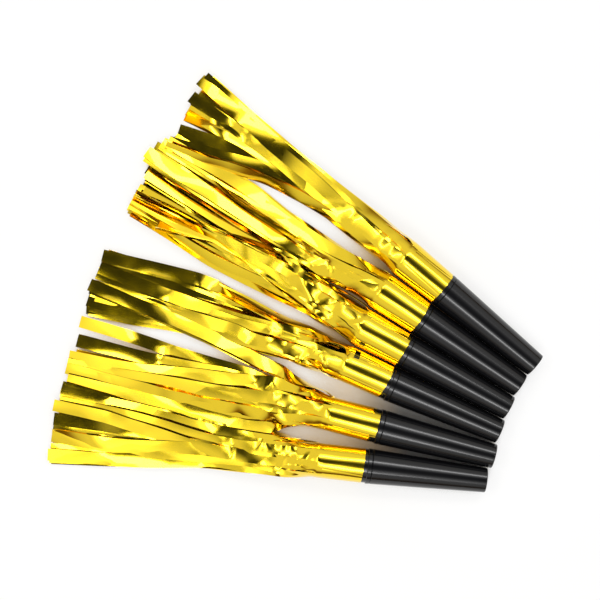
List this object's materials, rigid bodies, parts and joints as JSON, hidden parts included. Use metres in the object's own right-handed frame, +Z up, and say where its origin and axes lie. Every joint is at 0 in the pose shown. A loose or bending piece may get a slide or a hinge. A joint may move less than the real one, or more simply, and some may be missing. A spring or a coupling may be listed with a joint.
{
  "type": "fringed party squawker set",
  "caption": "Fan of tapered party horns lying side by side, each with a black mouthpiece, a reed inside and a gold foil fringe.",
  "frame": {"origin": "middle of the set's footprint, on the surface that it lies on", "axes": "+X to the side that the mouths point to, +Y towards the end of the first fringe, +Z up"},
  "size_m": [0.2587, 0.2217, 0.0201],
  "materials": {
    "black_plastic": "smooth moulding, satin gloss",
    "gold_foil": "metallised film lacquered gold, mirror bright and creased",
    "white_plastic": "moulded, unpainted",
    "reed_film": "punched from thin stiff film"
  },
  "bodies": {
    "squawker_1": {"mouthpiece_1": "black_plastic", "barrel_1": "black_plastic", "reed_seat_1": "white_plastic", "reed_collar_1": "white_plastic", "foil_wrap_1": "gold_foil"},
    "fringe_1": {"fringe_outer_1": "gold_foil", "fringe_inner_1": "gold_foil"},
    "reed_1": {"reed_tongue_1": "reed_film"},
    "squawker_2": {"mouthpiece_2": "black_plastic", "barrel_2": "black_plastic", "reed_seat_2": "white_plastic", "reed_collar_2": "white_plastic", "foil_wrap_2": "gold_foil"},
    "fringe_2": {"fringe_outer_2": "gold_foil", "fringe_inner_2": "gold_foil"},
    "reed_2": {"reed_tongue_2": "reed_film"},
    "squawker_3": {"mouthpiece_3": "black_plastic", "barrel_3": "black_plastic", "reed_seat_3": "white_plastic", "reed_collar_3": "white_plastic", "foil_wrap_3": "gold_foil"},
    "fringe_3": {"fringe_outer_3": "gold_foil", "fringe_inner_3": "gold_foil"},
    "reed_3": {"reed_tongue_3": "reed_film"},
    "squawker_4": {"mouthpiece_4": "black_plastic", "barrel_4": "black_plastic", "reed_seat_4": "white_plastic", "reed_collar_4": "white_plastic", "foil_wrap_4": "gold_foil"},
    "fringe_4": {"fringe_outer_4": "gold_foil", "fringe_inner_4": "gold_foil"},
    "reed_4": {"reed_tongue_4": "reed_film"},
    "squawker_5": {"mouthpiece_5": "black_plastic", "barrel_5": "black_plastic", "reed_seat_5": "white_plastic", "reed_collar_5": "white_plastic", "foil_wrap_5": "gold_foil"},
    "fringe_5": {"fringe_outer_5": "gold_foil", "fringe_inner_5": "gold_foil"},
    "reed_5": {"reed_tongue_5": "reed_film"},
    "squawker_6": {"mouthpiece_6": "black_plastic", "barrel_6": "black_plastic", "reed_seat_6": "white_plastic", "reed_collar_6": "white_plastic", "foil_wrap_6": "gold_foil"},
    "fringe_6": {"fringe_outer_6": "gold_foil", "fringe_inner_6": "gold_foil"},
    "reed_6": {"reed_tongue_6": "reed_film"}
  },
  "joints": [
    {"name": "fringe_swing_1", "type": "hinge", "parent": "squawker_1", "child": "fringe_1", "pos_m": [0.05912, 0.00974, 0.02015], "axis": [0.6347, 0.7727, 0], "range_deg": [0, 40]},
    {"name": "reed_flex_1", "type": "hinge", "parent": "squawker_1", "child": "reed_1", "pos_m": [0.08947, -0.01519, 0.01006], "axis": [-0.6347, -0.7727, 0], "range_deg": [-2, 1], "stiffness_Nm_per_rad": 0.002},
    {"name": "lift_2", "type": "slide", "parent": "squawker_1", "child": "squawker_2", "axis": [0, 0, 1], "range_m": [0, 0.06]},
    {"name": "fringe_swing_2", "type": "hinge", "parent": "squawker_2", "child": "fringe_2", "pos_m": [0.04657, -0.00707, 0.02015], "axis": [0.561, 0.8278, 0], "range_deg": [0, 40]},
    {"name": "reed_flex_2", "type": "hinge", "parent": "squawker_2", "child": "reed_2", "pos_m": [0.07908, -0.0291, 0.01006], "axis": [-0.561, -0.8278, 0], "range_deg": [-2, 1], "stiffness_Nm_per_rad": 0.002},
    {"name": "lift_3", "type": "slide", "parent": "squawker_1", "child": "squawker_3", "axis": [0, 0, 1], "range_m": [0, 0.06]},
    {"name": "fringe_swing_3", "type": "hinge", "parent": "squawker_3", "child": "fringe_3", "pos_m": [0.03659, -0.02556, 0.02015], "axis": [0.4825, 0.8759, 0], "range_deg": [0, 40]},
    {"name": "reed_flex_3", "type": "hinge", "parent": "squawker_3", "child": "reed_3", "pos_m": [0.071, -0.04451, 0.01006], "axis": [-0.4825, -0.8759, 0], "range_deg": [-2, 1], "stiffness_Nm_per_rad": 0.002},
    {"name": "lift_4", "type": "slide", "parent": "squawker_1", "child": "squawker_4", "axis": [0, 0, 1], "range_m": [0, 0.06]},
    {"name": "fringe_swing_4", "type": "hinge", "parent": "squawker_4", "child": "fringe_4", "pos_m": [0.02836, -0.0449, 0.02015], "axis": [0.3999, 0.9166, 0], "range_deg": [0, 40]},
    {"name": "reed_flex_4", "type": "hinge", "parent": "squawker_4", "child": "reed_4", "pos_m": [0.06436, -0.0606, 0.01006], "axis": [-0.3999, -0.9166, 0], "range_deg": [-2, 1], "stiffness_Nm_per_rad": 0.002},
    {"name": "lift_5", "type": "slide", "parent": "squawker_1", "child": "squawker_5", "axis": [0, 0, 1], "range_m": [0, 0.06]},
    {"name": "fringe_swing_5", "type": "hinge", "parent": "squawker_5", "child": "fringe_5", "pos_m": [0.02097, -0.07044, 0.02015], "axis": [0.252, 0.9677, 0], "range_deg": [0, 40]},
    {"name": "reed_flex_5", "type": "hinge", "parent": "squawker_5", "child": "reed_5", "pos_m": [0.05898, -0.08034, 0.01006], "axis": [-0.252, -0.9677, 0], "range_deg": [-2, 1], "stiffness_Nm_per_rad": 0.002},
    {"name": "lift_6", "type": "slide", "parent": "squawker_1", "child": "squawker_6", "axis": [0, 0, 1], "range_m": [0, 0.06]},
    {"name": "fringe_swing_6", "type": "hinge", "parent": "squawker_6", "child": "fringe_6", "pos_m": [0.01463, -0.09406, 0.02015], "axis": [0.1222, 0.9925, 0], "range_deg": [0, 40]},
    {"name": "reed_flex_6", "type": "hinge", "parent": "squawker_6", "child": "reed_6", "pos_m": [0.05362, -0.09886, 0.01006], "axis": [-0.1222, -0.9925, 0], "range_deg": [-2, 1], "stiffness_Nm_per_rad": 0.002}
  ]
}
